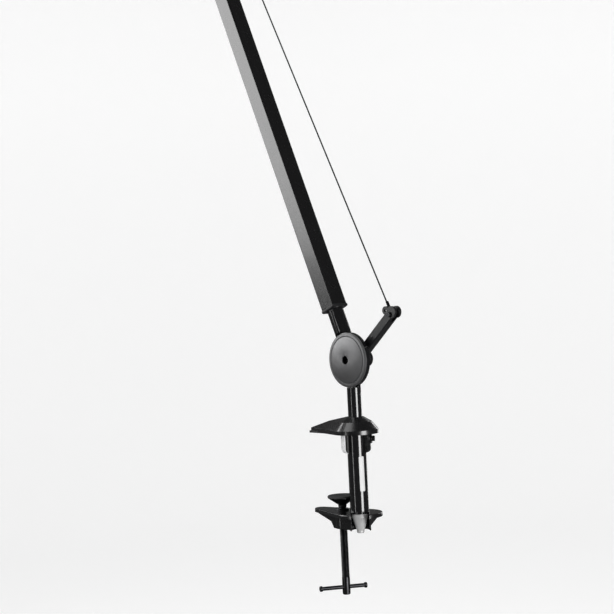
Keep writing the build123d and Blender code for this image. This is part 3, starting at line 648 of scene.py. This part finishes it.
# ---- stage, light and camera -------------------------------------------------------------------
STAGE_FLOOR = -0.75
STAGE_RADIUS = 6.0
STAGE_BEND = 2.0
STAGE_TOP = 7.0
STAGE_HUB = 0.02                   # radius of the flat disc in the floor's middle
STAGE_BEND_STEPS = 14
STAGE_POINTS = 96
STAGE_GLOW = 0.5
WORLD_LEVEL = 0.1
VIEW_TURN = math.radians(49.65)
VIEW_PITCH = math.radians(-0.42)
VIEW_ROLL = math.radians(-2.79)
VIEW_DISTANCE = 1.4258
VIEW_SIDE = -0.0423
VIEW_HEIGHT = 0.138
FOCAL_PIXELS = 1443.9
PICTURE_PIXELS = 614
SENSOR_MM = 36.0


def make_stage():
    """A pale round floor that curves up into a wall, kept out of mirror reflections."""
    profile = [(STAGE_HUB, 0.0), (STAGE_RADIUS - STAGE_BEND, 0.0)]
    for i in range(1, STAGE_BEND_STEPS + 1):
        turn = math.pi / 2 * i / STAGE_BEND_STEPS
        reach = STAGE_RADIUS - STAGE_BEND + STAGE_BEND * math.sin(turn)
        profile.append((reach, STAGE_BEND * (1 - math.cos(turn))))
    profile.append((STAGE_RADIUS, STAGE_TOP))
    shape = bmesh.new()
    rows = []
    for radius, height in profile:
        points = ring(UP * (STAGE_FLOOR + height), UP, [radius] * STAGE_POINTS)
        rows.append([shape.verts.new(point) for point in points])
    for near, far in zip(rows, rows[1:]):
        for i in range(len(near)):
            j = (i + 1) % len(near)
            shape.faces.new((near[i], near[j], far[j], far[i]))
    shape.faces.new(rows[0])
    for face in shape.faces:
        face.smooth = True
    mesh = bpy.data.meshes.new("stage")
    shape.to_mesh(mesh)
    shape.free()
    floor = bpy.data.objects.new("stage", mesh)
    bpy.context.scene.collection.objects.link(floor)
    floor.visible_glossy = False
    nodes = Nodes("stage_paper")
    cloud = nodes.noise(scale=0.6)
    nodes.link(nodes.mix(cloud, (0.55, 0.55, 0.55), (0.57, 0.57, 0.57)), "Base Color")
    nodes.set(Roughness=0.95, Emission_Color=(1, 1, 1, 1), Emission_Strength=STAGE_GLOW)
    mesh.materials.append(nodes.material)


def soft_light(name, bearing, distance, height, size, radiance, target=0.2):
    """A soft box, placed by its bearing in degrees from the camera, to the right as positive."""
    turn = math.radians(bearing)
    out = -level * math.cos(turn) + side * math.sin(turn)
    spot = Vector((POST_X, 0, 0)) + out * distance + Vector((0, 0, height))
    data = bpy.data.lights.new(name, "AREA")
    data.shape = "RECTANGLE"
    width, tall = size
    data.size = width
    data.size_y = tall
    data.energy = radiance * math.pi * width * tall
    lamp = bpy.data.objects.new(name, data)
    lamp.location = spot
    aim = Vector((POST_X, 0, target)) - spot
    lamp.rotation_euler = aim.to_track_quat("-Z", "Y").to_euler()
    lamp.visible_camera = False
    bpy.context.scene.collection.objects.link(lamp)


def view_axes():
    """The photograph's view: its level side and depth, then its right, top and forward."""
    side = Vector((math.cos(VIEW_TURN), math.sin(VIEW_TURN), 0))
    level = Vector((-math.sin(VIEW_TURN), math.cos(VIEW_TURN), 0))
    forward = level * math.cos(VIEW_PITCH) + Vector((0, 0, math.sin(VIEW_PITCH)))
    up = side.cross(forward)
    right = side * math.cos(VIEW_ROLL) + up * math.sin(VIEW_ROLL)
    top = up * math.cos(VIEW_ROLL) - side * math.sin(VIEW_ROLL)
    return side, level, right, top, forward


def make_camera():
    """The photograph's view."""
    data = bpy.data.cameras.new("camera")
    data.sensor_width = SENSOR_MM
    data.lens = FOCAL_PIXELS / PICTURE_PIXELS * SENSOR_MM
    camera = bpy.data.objects.new("camera", data)
    spot = Vector((POST_X, 0, VIEW_HEIGHT)) - level * VIEW_DISTANCE + side * VIEW_SIDE
    turned = Matrix((right, top, -forward)).transposed().to_4x4()
    camera.matrix_world = Matrix.Translation(spot) @ turned
    bpy.context.scene.collection.objects.link(camera)
    bpy.context.scene.camera = camera


side, level, right, top, forward = view_axes()
world = bpy.data.worlds.new("studio")
world.use_nodes = True
world.node_tree.nodes["Background"].inputs["Color"].default_value = (1, 1, 1, 1)
world.node_tree.nodes["Background"].inputs["Strength"].default_value = WORLD_LEVEL
bpy.context.scene.world = world
bpy.context.scene.view_settings.view_transform = "Standard"
make_stage()
soft_light(
    "left_box", bearing=-105, distance=1.7, height=0.75, size=(1.5, 1.1), radiance=6.0,
)
soft_light(
    "front_strip", bearing=38, distance=1.9, height=0.0, size=(0.85, 1.3), radiance=13.0,
    target=0.0,
)
soft_light(
    "left_strip", bearing=-54, distance=1.9, height=0.1, size=(0.12, 1.2), radiance=8.0,
    target=0.0,
)
soft_light(
    "back_strip", bearing=152, distance=2.0, height=0.4, size=(0.3, 1.6), radiance=4.0,
)
soft_light(
    "top_box", bearing=-95, distance=0.9, height=2.3, size=(1.4, 1.4), radiance=3.0,
)
make_camera()
